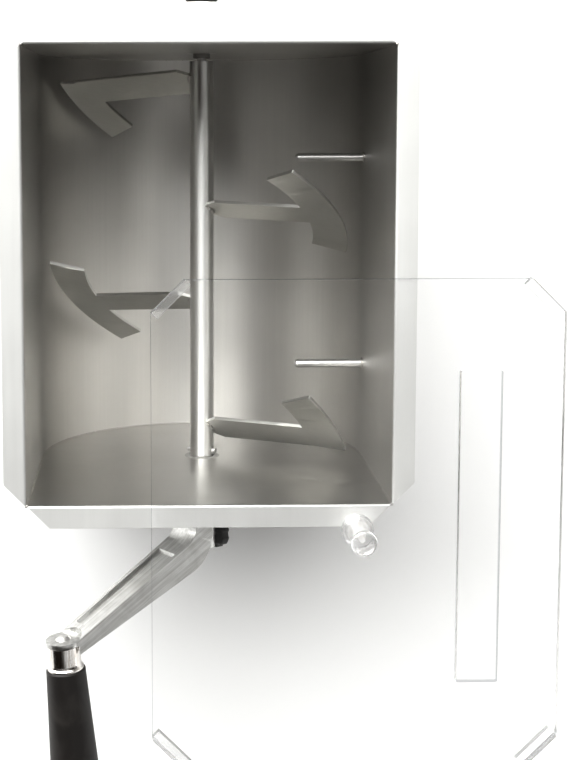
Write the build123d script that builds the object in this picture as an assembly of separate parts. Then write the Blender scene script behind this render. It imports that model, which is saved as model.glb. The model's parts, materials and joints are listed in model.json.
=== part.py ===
from build123d import *
import math
import os

# Hand-cranked stainless meat mixer: a U-shaped trough on two folded stands, a paddle shaft that a
# cast crank turns, a sprung plunger that frees the shaft's rear end, and a loose clear lid.
# Millimetres. X runs across the trough, +Y to the rear (away from the crank), +Z up.
# The origin is on the table, at the centre of the four fixing holes through the feet.

# ---- driving dimensions ----
TANK_WIDTH = 240.0          # inside, across
TANK_LENGTH = 300.0         # inside, along the shaft
SHEET = 1.5                 # tank sheet
SHAFT_Z = 160.0             # shaft axis above the table
RIM_Z = 308.0               # top face of the rim flange
FLANGE = 15.0               # rim flange, from the inner face outwards
RIM_BEND = 2.2              # rounding where a wall turns into its flange

STAND_SHEET = 2.0
FOOT_WIDTH = 30.0           # foot flange, along Y
FOOT_HALF_SPAN = 130.0      # half the foot flange's length, across
FIXING_X = 115.0            # fixing holes, from the centre
FIXING_Y = 168.0
FIXING_HOLE_R = 4.5
FOOT_HEIGHT = 10.0          # rubber under the foot flange

TUBE_R = 8.8                # paddle shaft tube
TUBE_WALL = 2.0
TUBE_FRONT_Y = -149.2
TUBE_REAR_Y = 144.5
DRIVE_TILT = 27.0           # the cross pin's line, right side up

PADDLE_SHEET = 2.5
BLADE_WIDTH = 25.5
ARM_WIDTH = 23.0
END_ARM_WIDTH = 26.5

# Each paddle: side of the shaft (-1 left, 1 right), place along the shaft, arm's angle above the
# horizontal, blade plane's turn from the shaft's direction, arm's lean towards the crank, radius that
# the blade sweeps, and the blade's run below and above the arm's line.
PADDLES = {
    "paddle_1": dict(side=-1, y=131.0, rise=-21.0, pitch=54.0, lean=7.5, reach=114.0, low=-58.5, high=13.2),
    "paddle_2": dict(side=1, y=36.8, rise=30.0, pitch=59.0, lean=3.0, reach=108.5, low=-58.0, high=64.0),
    "paddle_3": dict(side=-1, y=-32.0, rise=-22.0, pitch=55.5, lean=6.9, reach=111.0, low=-61.0, high=63.0),
    "paddle_4": dict(side=1, y=-127.0, rise=27.0, pitch=49.0, lean=0.0, reach=111.0, low=-16.0, high=56.5),
}

CRANK_ANGLE = 34.0          # arm above the horizontal, pointing left
CRANK_RADIUS = 123.0
GRIP_LEAN = 5.0             # the grip's axis leans in towards the shaft's axis
GRIP_LENGTH = 112.0
GRIP_R = 17.7               # at its fullest

LID_WIDTH = 270.0
LID_LENGTH = 330.0
LID_SHEET = 5.0
LID_CHAMFER = 22.0
LID_CENTRE = (96.8, -165.3)  # where the lid lies, drawn back from the trough
LID_SLOT = (27.0, 209.0)
LID_SLOT_X = 80.5           # slot centre from the lid's centre

RUN_FIT = 0.06              # radial clearance of a turning or sliding fit
SEAT_FIT = 0.02             # radial clearance of a part that is fixed in its seat

# ---- derived places ----
HALF_W = TANK_WIDTH / 2
HALF_L = TANK_LENGTH / 2
PLATE_OUT = HALF_L + SHEET              # outer face of an end plate
STAND_OUT = PLATE_OUT + STAND_SHEET     # outer face of a stand's web
RIM_HALF_W = HALF_W + FLANGE
RIM_HALF_L = HALF_L + FLANGE
FOOT_TOP = FOOT_HEIGHT + STAND_SHEET

# ---- shaft line stations along Y ----
CROSS_PIN_Y = -145.6
STUB_BACK_Y = -118.0
HOUSING_FRONT_Y = -170.0
CRANK_BACK_Y = -176.0
CRANK_HUB_Y = -198.0        # end of the crank's full hub; a thinner neck runs on
CRANK_NECK_Y = -221.0       # closed outer end of the neck
STUB_FRONT_Y = -216.0
CLAMP_Y = -211.5
BOSS_Y = -268.0             # tank side of the boss that carries the grip
HEX_REAR_Y = 187.0
PLUNGER_TIP_Y = 132.0
COLLAR_Y = 162.0            # plunger collar, its front face
COLLAR_LENGTH = 3.0
SPRING_CAVITY_R = 9.0
CAP_Y = 183.0
BAFFLE_Y = (74.0, -80.0)


def along_y(radius, y0, y1, x=0.0, z=SHAFT_Z):
    """A cylinder about an axis parallel to Y, from y0 to y1."""
    low = min(y0, y1)
    disc = Plane((x, low, z), x_dir=(1, 0, 0), z_dir=(0, 1, 0)) * Circle(radius)
    return extrude(disc, abs(y1 - y0))


def ring_y(outer, inner, y0, y1):
    """A ring about the shaft's axis."""
    return along_y(outer, y0, y1) - along_y(inner, min(y0, y1) - 1, max(y0, y1) + 1)


def revolved_y(points):
    """Turns a closed (radius, y) outline about the shaft's axis."""
    outline = Plane.XY * make_face(Polyline(*points, close=True))
    return Pos(0, 0, SHAFT_Z) * revolve(outline, Axis.Y)


def xz_sketch(shape, y):
    """Puts a flat (x, z) shape on the plane at y; extruding it goes towards +Y."""
    return Plane((0, y, 0), x_dir=(1, 0, 0), z_dir=(0, -1, 0)) * shape


def trough_outline(half_width, top):
    """The trough's cross-section, filled: straight walls down to the shaft's height, then round."""
    with BuildSketch() as outline:
        with BuildLine():
            Line((-half_width, top), (half_width, top))
            Line((half_width, top), (half_width, SHAFT_Z))
            ThreePointArc((half_width, SHAFT_Z), (0, SHAFT_Z - half_width), (-half_width, SHAFT_Z))
            Line((-half_width, SHAFT_Z), (-half_width, top))
        make_face()
    return outline.sketch


def save(name, shape):
    shape.label = name
    export_step(shape, f"parts/{name}.step")


# ---- tank ----
def trough_shell():
    outer = trough_outline(HALF_W + SHEET, RIM_Z - SHEET) - trough_outline(HALF_W, RIM_Z + 1)
    for side in (-1, 1):
        strip_x = side * (HALF_W + FLANGE / 2)
        outer += Pos(strip_x, RIM_Z - SHEET / 2) * Rectangle(FLANGE, SHEET)
    bends = outer.vertices().filter_by(lambda v: abs(abs(v.X) - HALF_W) < 0.01 and v.Y > RIM_Z - 0.01)
    outer = fillet(bends, RIM_BEND)
    corners = outer.vertices().filter_by(
        lambda v: abs(abs(v.X) - HALF_W - SHEET) < 0.01 and abs(v.Y - RIM_Z + SHEET) < 0.01)
    outer = fillet(corners, RIM_BEND - SHEET)
    shell = extrude(xz_sketch(outer, HALF_L), TANK_LENGTH)
    return shell - flange_corner_cuts()


def flange_corner_cuts():
    """Cuts the rim's outline across its corners, on a line through the tank's inner corners."""
    cuts = Part()
    for sx in (-1, 1):
        for sy in (-1, 1):
            corner = Polyline((HALF_W, HALF_L), (HALF_W + 2 * FLANGE, HALF_L - 2 * FLANGE),
                              (HALF_W + 2 * FLANGE, HALF_L + 2 * FLANGE),
                              (HALF_W - 2 * FLANGE, HALF_L + 2 * FLANGE), close=True)
            face = Plane.XY.offset(RIM_Z - 4 * SHEET) * make_face(corner)
            block = extrude(face, 8 * SHEET)
            block = mirror(block, Plane.YZ) if sx < 0 else block
            block = mirror(block, Plane.XZ) if sy < 0 else block
            # the flange alone is cut: the walls below stand inside this line
            wall = extrude(xz_sketch(trough_outline(HALF_W + SHEET, RIM_Z - SHEET), PLATE_OUT),
                           2 * PLATE_OUT)
            cuts += block - wall
    return cuts


def end_plate(side, hole_r):
    """A flat end wall whose top edge is bent outwards into the rim's flange."""
    wall = xz_sketch(trough_outline(HALF_W + SHEET, RIM_Z), side * HALF_L + (SHEET if side > 0 else 0))
    plate = extrude(wall, SHEET)
    half = HALF_W + SHEET
    strip = Pos(0, side * (HALF_L + FLANGE / 2), RIM_Z - SHEET / 2) * Box(2 * half, FLANGE, SHEET)
    plate = plate + strip - flange_corner_cuts()
    top_bend = plate.edges().filter_by(Axis.X).filter_by(
        lambda e: abs(e.center().Z - RIM_Z) < 0.01 and abs(abs(e.center().Y) - HALF_L) < 0.01)
    plate = fillet(top_bend, RIM_BEND)
    return plate - along_y(hole_r, side * (HALF_L - 5), side * (PLATE_OUT + 5))


def stand(side, hole_r):
    """A folded stand: a web on the end plate, a foot flange below it and a stiffening lip each side."""
    outline = Polyline((-FOOT_HALF_SPAN, FOOT_HEIGHT), (FOOT_HALF_SPAN, FOOT_HEIGHT),
                       (FOOT_HALF_SPAN, FOOT_HEIGHT + 22), (62, SHAFT_Z + 52), (-62, SHAFT_Z + 52),
                       (-FOOT_HALF_SPAN, FOOT_HEIGHT + 22), close=True)
    web_plane = side * PLATE_OUT + (STAND_SHEET if side > 0 else 0)
    web = extrude(xz_sketch(make_face(outline), web_plane), STAND_SHEET)
    window = Pos(0, 30) * RectangleRounded(120, 22, 10)
    web -= extrude(xz_sketch(window, web_plane + 1), STAND_SHEET + 2)
    foot_y = side * (PLATE_OUT + FOOT_WIDTH / 2)
    foot = Pos(0, foot_y, FOOT_HEIGHT + STAND_SHEET / 2) * Box(2 * FOOT_HALF_SPAN, FOOT_WIDTH, STAND_SHEET)
    body = web + foot
    lip = Pos(0, side * (PLATE_OUT + 6), SHAFT_Z + 52 - STAND_SHEET / 2) * Box(124, 12, STAND_SHEET)
    body += lip
    body -= along_y(hole_r, side * (PLATE_OUT - 5), side * (STAND_OUT + 5))
    for x in (-FIXING_X, FIXING_X):
        body -= Pos(x, side * FIXING_Y, FOOT_TOP) * Cylinder(FOOT_NECK_R + SEAT_FIT, 3 * STAND_SHEET)
    return body


# ---- feet ----
FOOT_NECK_R = 7.5
FOOT_R = 12.5
FOOT_LIP_R = 9.5


def rubber_foot(x, y):
    """A grommet foot: pad, neck through the foot flange, and a lip that holds it there."""
    points = [(FIXING_HOLE_R, 0), (FOOT_R - 1, 0), (FOOT_R, 1), (FOOT_R - 0.8, FOOT_HEIGHT),
              (FOOT_NECK_R, FOOT_HEIGHT), (FOOT_NECK_R, FOOT_TOP), (FOOT_LIP_R, FOOT_TOP),
              (FOOT_LIP_R - 1, FOOT_TOP + 2), (FIXING_HOLE_R, FOOT_TOP + 2)]
    outline = Plane.XZ * make_face(Polyline(*points, close=True))
    return Pos(x, y, 0) * revolve(outline, Axis.Z)


def rubber_feet():
    return Compound([rubber_foot(x, y) for x in (-FIXING_X, FIXING_X) for y in (-FIXING_Y, FIXING_Y)])


# ---- fixed rods on the right wall ----
BAFFLE_R = 3.0
BAFFLE_LENGTH = 51.0


def baffle_rod(y):
    rod = Pos(HALF_W - BAFFLE_LENGTH, y, SHAFT_Z + 2) * (Rot(0, 90, 0) * Cylinder(
        BAFFLE_R, BAFFLE_LENGTH, align=(Align.CENTER, Align.CENTER, Align.MIN)))
    tip = rod.edges().filter_by(GeomType.CIRCLE).sort_by(Axis.X)[0]
    return fillet(tip, 2.6)


# ---- front bearing ----
BUSH_R = 13.0
STUB_R = 9.0
HOUSING_R = 22.0
SEAL_LENGTH = 4.0


def front_bearing_housing():
    """Round steel boss welded to the stand, bored for the bush."""
    boss = ring_y(HOUSING_R, BUSH_R + SEAT_FIT, HOUSING_FRONT_Y, -STAND_OUT)
    rim = boss.edges().filter_by(GeomType.CIRCLE).sort_by(Axis.Y)[:2]
    return chamfer(rim, 1.0)


def front_bearing_bush():
    return ring_y(BUSH_R, STUB_R + RUN_FIT, HOUSING_FRONT_Y, -HALF_L - SEAL_LENGTH)


def front_shaft_seal():
    return ring_y(BUSH_R, STUB_R + RUN_FIT, -HALF_L - SEAL_LENGTH, -HALF_L)


# ---- paddle shaft ----
STUB_SPIGOT_R = TUBE_R - TUBE_WALL - 0.1
CRANK_SEAT_R = 7.0
CROSS_PIN_R = 2.0


def tilted(shape, rise=DRIVE_TILT):
    """Turns a shape drawn level about the shaft's axis, its right side up by rise."""
    return Pos(0, 0, SHAFT_Z) * (Rot(0, -rise, 0) * shape)


def cross_slot():
    """Open slots in the tube's front end that the cross pin drives."""
    length = CROSS_PIN_Y + CROSS_PIN_R + 0.6 - TUBE_FRONT_Y
    middle = TUBE_FRONT_Y + length / 2 - 1
    return tilted(Pos(0, middle, 0) * Box(4 * TUBE_R, length + 2, 2 * CROSS_PIN_R + 0.2))


def shaft_tube():
    return ring_y(TUBE_R, TUBE_R - TUBE_WALL, TUBE_FRONT_Y, TUBE_REAR_Y) - cross_slot()


def shaft_rear_plug():
    """Plug in the tube's rear end, bored for the plunger's pin."""
    plug = ring_y(TUBE_R - TUBE_WALL, PLUNGER_R + RUN_FIT, TUBE_REAR_Y - 24, TUBE_REAR_Y)
    return plug


def drive_stub():
    """Turned stub: spigot in the tube, bearing journal, crank seat with a clamping flat."""
    stub = along_y(STUB_SPIGOT_R, STUB_BACK_Y, TUBE_FRONT_Y - 0.3)
    stub += along_y(STUB_R, TUBE_FRONT_Y - 0.3, CRANK_BACK_Y)
    stub += along_y(CRANK_SEAT_R, CRANK_BACK_Y, STUB_FRONT_Y)
    flat = Pos(CRANK_SEAT_R + 4 - 1.5, CLAMP_Y, 0) * Box(8, 20, 20)
    stub -= swung(flat)
    stub -= tilted(Pos(0, CROSS_PIN_Y, 0) * (Rot(0, 90, 0) * Cylinder(CROSS_PIN_R, 40)))
    groove = ring_y(STUB_R + 1, STUB_R - 1, RING_Y, RING_Y + RING_LENGTH)
    return stub - groove


def drive_cross_pin():
    return tilted(Pos(0, CROSS_PIN_Y, 0) * (Rot(0, 90, 0) * Cylinder(CROSS_PIN_R, 2 * TUBE_R + 5)))


RING_Y = -172.6
RING_LENGTH = 1.6


def retaining_ring():
    """Snap ring in the stub's groove, open at one side."""
    ring = ring_y(STUB_R + 3, STUB_R - 1, RING_Y, RING_Y + RING_LENGTH)
    return ring - Pos(0, RING_Y, SHAFT_Z + STUB_R) * Box(6, 8, 12)


# ---- paddles ----
TIP_CUT = 0.8               # the blade's inner edge ends at this share of its run
ARM_SHOULDER_X = 15.0       # the arm narrows to its weld from here, from the shaft's axis


def blade_point(half_chord, radius, pitch):
    """Where the swept cylinder cuts the pitched plate, at this distance from the arm's line."""
    return math.sqrt(radius ** 2 - (half_chord * math.sin(math.radians(pitch))) ** 2)


def paddle_outline(pitch, reach, low, high):
    """A crescent blade from low to high on an arm along +X, drawn flat."""
    middle = (low + high) / 2
    inner_reach = reach - BLADE_WIDTH
    arm_width = ARM_WIDTH if min(-low, high) > ARM_WIDTH else END_ARM_WIDTH

    def outer(u):
        return (blade_point(u, reach, pitch), u)

    def inner(u):
        return (blade_point(u, inner_reach, pitch), u)

    with BuildSketch() as outline:
        with BuildLine():
            ThreePointArc(outer(low), outer(middle), outer(high))
            Line(outer(high), inner(high * TIP_CUT))
            ThreePointArc(inner(high * TIP_CUT), inner(middle * TIP_CUT), inner(low * TIP_CUT))
            Line(inner(low * TIP_CUT), outer(low))
        make_face()
        half, end = arm_width / 2, reach - BLADE_WIDTH / 2
        with BuildLine():
            Polyline((3, -5), (ARM_SHOULDER_X, -half), (end, -half), (end, half), (ARM_SHOULDER_X, half), (3, 5),
                     close=True)
        make_face()
    return outline.sketch


def paddle(name):
    """Flat plate with an arm and a crescent blade, cut to sit on the tube."""
    values = PADDLES[name]
    outline = paddle_outline(values["pitch"], values["reach"], values["low"], values["high"])
    outline = Rot(0, 0, -values["lean"]) * outline
    sheet = outline if values["side"] > 0 else mirror(outline, Plane.YZ)
    pitch = math.radians(values["pitch"])
    plane = Plane(origin=(0, values["y"], 0), x_dir=(1, 0, 0), z_dir=(0, -math.sin(pitch), math.cos(pitch)))
    plate = extrude(plane * sheet, PADDLE_SHEET / 2, both=True)
    placed = tilted(plate, values["side"] * values["rise"])
    placed -= along_y(TUBE_R, values["y"] - 40, values["y"] + 40)
    return placed.solids().sort_by(SortBy.VOLUME)[-1]


# ---- crank, drawn with its arm level and pointing to -X, and the shaft's axis through the origin ----
BOSS_R = 12.6
BOSS_LENGTH = 3.6
SPINDLE_R = 4.0
HUB_R = 15.0
NECK_R = 10.0
ARM_HUB_WIDTH = 29.0
ARM_BOSS_WIDTH = 24.0
ARM_FROM_X = -15.0          # tank side of the arm, where it leaves the hub along the shaft
ARM_BEND_Y = (-209.0, -226.3)   # corners of the arm's bend on its tank side and its outer side
ARM_BEND_R = (18.0, 30.0)
ARM_END_X = -128.0
ARM_END_Y = (-273.0, -283.0)
WEB_RECESS = 2.6
WEB_RIM = 3.2


def swung(shape):
    """Turns a shape drawn with the crank's arm level to the arm's angle at rest."""
    return Pos(0, 0, SHAFT_Z) * (Rot(0, CRANK_ANGLE, 0) * shape)


def grip_place():
    """The grip's own frame: +Z out along its axis, from the boss's tank side."""
    lean = math.radians(GRIP_LEAN)
    return Plane(origin=(-CRANK_RADIUS, BOSS_Y, 0), x_dir=(0, 0, 1),
                 z_dir=(math.sin(lean), -math.cos(lean), 0))


def crank_side():
    """The arm seen from its edge: along the shaft from the hub, round a bend, then out to the boss."""
    outline = make_face(Polyline((ARM_FROM_X, CRANK_BACK_Y - 8), (ARM_FROM_X, ARM_BEND_Y[0]),
                                 (ARM_END_X, ARM_END_Y[0]), (ARM_END_X, ARM_END_Y[1]),
                                 (-1, ARM_BEND_Y[1]), (-1, CRANK_BACK_Y - 8), close=True))
    inner_bend = outline.vertices().sort_by_distance((ARM_FROM_X, ARM_BEND_Y[0], 0))[0]
    outline = fillet(inner_bend, ARM_BEND_R[0])
    outer_bend = outline.vertices().sort_by_distance((-1, ARM_BEND_Y[1], 0))[0]
    return fillet(outer_bend, ARM_BEND_R[1])


def web_side():
    """The recess in the arm's tank side, seen from the arm's edge."""
    slope = (ARM_BEND_Y[0] - ARM_END_Y[0]) / (ARM_FROM_X - ARM_END_X)
    corners = []
    for x, depth in ((-33, WEB_RECESS), (-107, WEB_RECESS), (-103, -14), (-30, -14)):
        corners.append((x, ARM_BEND_Y[0] + slope * (x - ARM_FROM_X) - depth))
    return make_face(Polyline(*corners, close=True))


def crank_plan(margin):
    """The arm seen along the shaft: it narrows from the hub to the boss."""
    hub_half = ARM_HUB_WIDTH / 2 - margin
    boss_half = ARM_BOSS_WIDTH / 2 - margin
    return make_face(Polyline((0, -hub_half), (-CRANK_RADIUS, -boss_half), (-CRANK_RADIUS, boss_half),
                              (0, hub_half), close=True))


def hub_run(radius, end_y):
    """A length of hub from the crank's back face."""
    disc = Plane((0, CRANK_BACK_Y, 0), x_dir=(1, 0, 0), z_dir=(0, -1, 0)) * Circle(radius)
    return extrude(disc, CRANK_BACK_Y - end_y)


def crank_arm():
    """Cast crank: hub, bent arm with a recessed web on its tank side, and the grip's boss."""
    plan_plane = Plane((0, -100, 0), x_dir=(1, 0, 0), z_dir=(0, -1, 0))
    arm = extrude(Plane.XY * crank_side(), 40, both=True) & extrude(plan_plane * crank_plan(0), 250)
    recess = extrude(Plane.XY * web_side(), 40, both=True) & extrude(plan_plane * crank_plan(WEB_RIM), 250)
    arm = arm - recess
    hub = hub_run(HUB_R, CRANK_HUB_Y)
    hub = fillet(hub.edges().filter_by(GeomType.CIRCLE), 2.0)
    neck = hub_run(NECK_R, CRANK_NECK_Y)
    neck = fillet(neck.edges().filter_by(GeomType.CIRCLE).sort_by(Axis.Y)[0], 2.0)
    body = arm + hub + neck
    # faced flat on both sides round the boss, for the rivet head and for the ferrule
    facing = Cylinder(BOSS_R + 1, 30, align=(Align.CENTER, Align.CENTER, Align.MAX))
    body -= grip_place() * facing
    body -= grip_place() * (Pos(0, 0, BOSS_LENGTH + 30) * facing)
    body += grip_place() * Cylinder(BOSS_R, BOSS_LENGTH, align=(Align.CENTER, Align.CENTER, Align.MIN))
    body -= grip_place() * Cylinder(SPINDLE_R, 60)
    bore = Plane((0, CRANK_BACK_Y + 1, 0), x_dir=(1, 0, 0), z_dir=(0, -1, 0)) * Circle(
        CRANK_SEAT_R + SEAT_FIT)
    body -= extrude(bore, CRANK_BACK_Y + 1 - STUB_FRONT_Y + 0.5)
    screw_hole = Rot(0, 90, 0) * Cylinder(CLAMP_R + RUN_FIT, 40,
                                          align=(Align.CENTER, Align.CENTER, Align.MIN))
    body -= Pos(0, CLAMP_Y, 0) * screw_hole
    return swung(body)


CLAMP_R = 3.0
CLAMP_KNOB_R = 11.5
CLAMP_KNOB_LENGTH = 7.5
CLAMP_HEAD_X = NECK_R + 0.6


def crank_clamp_screw():
    """Screw through the hub, opposite the arm, down on to the stub's flat."""
    tip = CRANK_SEAT_R - 1.5 + 0.1
    length = CLAMP_HEAD_X + 5 - tip
    stud = Rot(0, 90, 0) * Cylinder(CLAMP_R, length, align=(Align.CENTER, Align.CENTER, Align.MIN))
    return swung(Pos(tip, CLAMP_Y, 0) * stud)


def clamp_screw_knob():
    """Lobed plastic head moulded on the clamp screw."""
    lobes = 6
    disc = Circle(CLAMP_KNOB_R)
    for i in range(lobes):
        turn = 2 * math.pi * i / lobes
        disc -= Pos(14.2 * math.cos(turn), 14.2 * math.sin(turn)) * Circle(4.2)
    head = extrude(disc, CLAMP_KNOB_LENGTH)
    faces = head.faces().filter_by(Axis.Z)
    head = chamfer(faces.edges(), 1.0)
    head -= Cylinder(CLAMP_R, 10)
    return swung(Pos(CLAMP_HEAD_X, CLAMP_Y, 0) * (Rot(0, 90, 0) * head))


# ---- grip, drawn along +Z from the boss's tank side ----
FERRULE_FROM = BOSS_LENGTH + 0.4
FERRULE_LENGTH = 17.6
HANDLE_FROM = FERRULE_FROM + FERRULE_LENGTH
GRIP_BORE_R = SPINDLE_R + RUN_FIT


def grip_turned(points):
    """Turns a closed (radius, height) outline about the grip's axis."""
    outline = Plane.XZ * make_face(Polyline(*points, close=True))
    return swung(grip_place() * revolve(outline, Axis.Z))


def grip_spindle():
    """Riveted in the boss; the grip turns on it and its far head keeps the grip on."""
    end = HANDLE_FROM + GRIP_LENGTH - 8
    return grip_turned([(0, -2.2), (3.2, -2.0), (5.6, 0), (SPINDLE_R, 0), (SPINDLE_R, end),
                        (7, end), (6, end + 3), (0, end + 3)])


def grip_ferrule():
    end = HANDLE_FROM
    return grip_turned([(GRIP_BORE_R, FERRULE_FROM), (11.0, FERRULE_FROM), (11.5, FERRULE_FROM + 0.5),
                        (11.8, end - 4.0), (12.3, end - 2.4), (13.2, end - 1.2), (13.2, end),
                        (GRIP_BORE_R, end)])


def grip_handle():
    """Plastic grip, fuller towards its rounded end, with a pocket for the spindle's head."""
    top = HANDLE_FROM + GRIP_LENGTH
    with BuildSketch(Plane.XZ) as outline:
        with BuildLine():
            Line((GRIP_BORE_R, HANDLE_FROM), (13.4, HANDLE_FROM))
            Line((13.4, HANDLE_FROM), (14.2, HANDLE_FROM + 1.2))
            Spline([(14.2, HANDLE_FROM + 1.2), (16.6, HANDLE_FROM + 0.5 * GRIP_LENGTH),
                    (GRIP_R, HANDLE_FROM + 0.82 * GRIP_LENGTH)], tangents=[(0.04, 1), (0, 1)])
            Spline([(GRIP_R, HANDLE_FROM + 0.82 * GRIP_LENGTH), (14.0, top - 3.4), (9, top)],
                   tangents=[(0, 1), (-1, 0.12)])
            Line((9, top), (8, top))
            Line((8, top), (8, top - 8 - 0.4))
            Line((8, top - 8 - 0.4), (GRIP_BORE_R, top - 8 - 0.4))
            Line((GRIP_BORE_R, top - 8 - 0.4), (GRIP_BORE_R, HANDLE_FROM))
        make_face()
    return swung(grip_place() * revolve(outline.sketch, Axis.Z))


# ---- rear plunger ----
PLUNGER_R = 3.5
PLUNGER_ROD_R = 4.0
COLLAR_R = 8.0
HEX_FLATS = 30.0
HEX_SPIGOT_R = 11.0
KNOB_FROM = HEX_REAR_Y + 1.0


def rear_hex_housing():
    """Hexagonal body on the rear stand, its spigot through the wall, bored for the spring."""
    hexagon = RegularPolygon(HEX_FLATS / 2, 6, major_radius=False)
    block = extrude(xz_sketch(Pos(0, SHAFT_Z) * hexagon, HEX_REAR_Y),
                    HEX_REAR_Y - STAND_OUT)
    cone = revolved_y([(0, STAND_OUT - 1), (HEX_FLATS, STAND_OUT - 1), (HEX_FLATS, HEX_REAR_Y - 8),
                       (HEX_FLATS / 2 - 0.4, HEX_REAR_Y), (0, HEX_REAR_Y)])
    block = block & cone
    block += along_y(HEX_SPIGOT_R, HALF_L, STAND_OUT)
    block -= along_y(PLUNGER_R + RUN_FIT, HALF_L - 1, COLLAR_Y + 1)
    return block - along_y(SPRING_CAVITY_R, COLLAR_Y - 0.2, HEX_REAR_Y + 1)


def rear_housing_cap():
    return ring_y(SPRING_CAVITY_R, PLUNGER_ROD_R + RUN_FIT, CAP_Y, HEX_REAR_Y)


def rear_inner_washer():
    """Plain collar on the rear wall, round the plunger's pin."""
    return ring_y(6.2, PLUNGER_R + 0.3, HALF_L - 3.2, HALF_L)


def plunger_pin():
    """Locating pin, spring collar and pull rod in one piece, with a coned tip."""
    return revolved_y([(0, PLUNGER_TIP_Y), (2, PLUNGER_TIP_Y), (PLUNGER_R, PLUNGER_TIP_Y + 2.5),
                       (PLUNGER_R, COLLAR_Y), (COLLAR_R, COLLAR_Y), (COLLAR_R, COLLAR_Y + COLLAR_LENGTH),
                       (PLUNGER_ROD_R, COLLAR_Y + COLLAR_LENGTH), (PLUNGER_ROD_R, KNOB_FROM + 16),
                       (0, KNOB_FROM + 16)])


def plunger_knob():
    """Pull knob: a stem that widens to a rounded head."""
    end = KNOB_FROM + 38
    with BuildSketch() as outline:
        with BuildLine():
            Line((PLUNGER_ROD_R, KNOB_FROM), (11.2, KNOB_FROM))
            Line((11.2, KNOB_FROM), (12, KNOB_FROM + 0.8))
            Line((12, KNOB_FROM + 0.8), (10.8, KNOB_FROM + 14))
            ThreePointArc((10.8, KNOB_FROM + 14), (12.2, KNOB_FROM + 19.5), (15.5, KNOB_FROM + 24))
            ThreePointArc((15.5, KNOB_FROM + 24), (15.2, KNOB_FROM + 33), (8, end))
            Line((8, end), (0, end))
            Line((0, end), (0, KNOB_FROM + 16))
            Line((0, KNOB_FROM + 16), (PLUNGER_ROD_R, KNOB_FROM + 16))
            Line((PLUNGER_ROD_R, KNOB_FROM + 16), (PLUNGER_ROD_R, KNOB_FROM))
        make_face()
    return Pos(0, 0, SHAFT_Z) * revolve(outline.sketch, Axis.Y)


def plunger_spring():
    """Compression spring between the collar and the cap."""
    wire = 0.6
    start = COLLAR_Y + COLLAR_LENGTH + wire + 0.1
    length = CAP_Y - wire - 0.1 - start
    path = Helix(pitch=length / 4.5, height=length, radius=6.4)
    wire_disc = (path ^ 0) * Circle(wire)
    coil = sweep(wire_disc, path=path, is_frenet=True)
    return Pos(0, start, SHAFT_Z) * (Rot(-90, 0, 0) * coil)


# ---- lid ----
LID_REST_GAP = 0.2
LID_Z = RIM_Z + LID_REST_GAP
BAR_WIDTH = 6.0
BAR_LENGTH = 31.0
BAR_DEPTH = 5.0
KNOB_SCREW_R = 2.5
KNOB_HEAD_R = 4.8
KNOB_HEAD_DEPTH = 2.6
KNOB_HEIGHT = 36.0


def on_lid(shape, z=LID_Z):
    return Pos(LID_CENTRE[0], LID_CENTRE[1], z) * shape


def lid_plate():
    sheet = Rectangle(LID_WIDTH, LID_LENGTH)
    sheet = chamfer(sheet.vertices(), LID_CHAMFER)
    slot = fillet(Rectangle(*LID_SLOT).vertices(), 1.0)
    sheet -= Pos(LID_SLOT_X, 0) * slot
    sheet -= Circle(KNOB_SCREW_R + 0.3)
    plate = extrude(sheet, LID_SHEET)
    plate -= Cone(KNOB_HEAD_R + 0.1, KNOB_SCREW_R + 0.1, KNOB_HEAD_DEPTH,
                  align=(Align.CENTER, Align.CENTER, Align.MIN))
    outline = plate.edges().filter_by(lambda e: abs(e.center().Z - LID_SHEET) < 0.01)
    return on_lid(chamfer(outline, 0.5))


def lid_corner_bars():
    """Bars glued under the cut corners; they drop outside the rim's corners and locate the lid."""
    reach = LID_WIDTH / 2 + LID_LENGTH / 2 - LID_CHAMFER
    middle_x = (reach - (LID_LENGTH - LID_WIDTH) / 2) / 2 - 0.5 * BAR_WIDTH / math.sqrt(2)
    middle_y = reach - BAR_WIDTH / math.sqrt(2) - middle_x
    bars = []
    for sx in (-1, 1):
        for sy in (-1, 1):
            bar = Rot(0, 0, -45 * sx * sy) * Box(BAR_LENGTH, BAR_WIDTH, BAR_DEPTH)
            bars.append(on_lid(Pos(sx * middle_x, sy * middle_y, -BAR_DEPTH / 2) * bar))
    return Compound(bars)


def lid_knob():
    """Waisted clear knob on the lid's centre."""
    with BuildSketch(Plane.XZ) as outline:
        with BuildLine():
            Line((KNOB_SCREW_R, 0), (10.5, 0))
            Line((10.5, 0), (10.5, 2.5))
            ThreePointArc((10.5, 2.5), (6.6, 9), (6.2, 18))
            ThreePointArc((6.2, 18), (6.8, 25), (8.2, 31))
            ThreePointArc((8.2, 31), (8.4, 34.4), (6.2, KNOB_HEIGHT))
            Line((6.2, KNOB_HEIGHT), (0, KNOB_HEIGHT))
            Line((0, KNOB_HEIGHT), (0, 20))
            Line((0, 20), (KNOB_SCREW_R, 20))
            Line((KNOB_SCREW_R, 20), (KNOB_SCREW_R, 0))
        make_face()
    return on_lid(revolve(outline.sketch, Axis.Z), LID_Z + LID_SHEET)


def lid_knob_screw():
    """Countersunk screw up through the lid into the knob, flush underneath."""
    points = [(0, 0.1), (KNOB_HEAD_R, 0.1), (KNOB_SCREW_R, KNOB_HEAD_DEPTH), (KNOB_SCREW_R, 22),
              (2, 24), (0, 24)]
    outline = Plane.XZ * make_face(Polyline(*points, close=True))
    return on_lid(revolve(outline, Axis.Z))


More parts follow.
